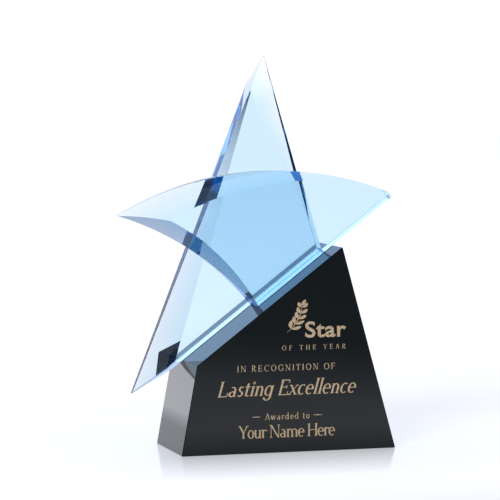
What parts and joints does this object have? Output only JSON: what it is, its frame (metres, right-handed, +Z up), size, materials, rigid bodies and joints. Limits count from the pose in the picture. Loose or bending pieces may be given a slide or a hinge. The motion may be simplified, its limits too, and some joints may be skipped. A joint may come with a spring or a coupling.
{
  "type": "crystal award",
  "caption": "Free-standing star award of pale blue polished crystal, a leaning point behind a crescent, glued on the slanted top of a black crystal base with gold-filled etching.",
  "frame": {"origin": "centre of the base's underside, on the surface that the award stands on", "axes": "+Z up, +X to the right seen from the front, +Y from the engraved front to the back"},
  "size_m": [0.1808, 0.0624, 0.254],
  "materials": {
    "black_crystal": "polished opaque black optical glass, ground arrises",
    "blue_crystal": "polished pale blue optical crystal with ground and polished bevels",
    "adhesive": "cured clear ultraviolet adhesive, optically matched to the crystal",
    "gold_paint": "satin metallic gold paint rubbed into the etching"
  },
  "bodies": {
    "root": {"base_block": "black_crystal", "tall_point": "blue_crystal", "crescent": "blue_crystal", "star_film": "adhesive", "tall_foot_film": "adhesive", "crescent_foot_film": "adhesive", "emblem_fill": "gold_paint", "crest_word_fill": "gold_paint", "crest_line_fill": "gold_paint", "heading_fill": "gold_paint", "title_fill": "gold_paint", "lead_in_fill": "gold_paint", "left_rule_fill": "gold_paint", "right_rule_fill": "gold_paint", "recipient_fill": "gold_paint"}
  },
  "joints": []
}
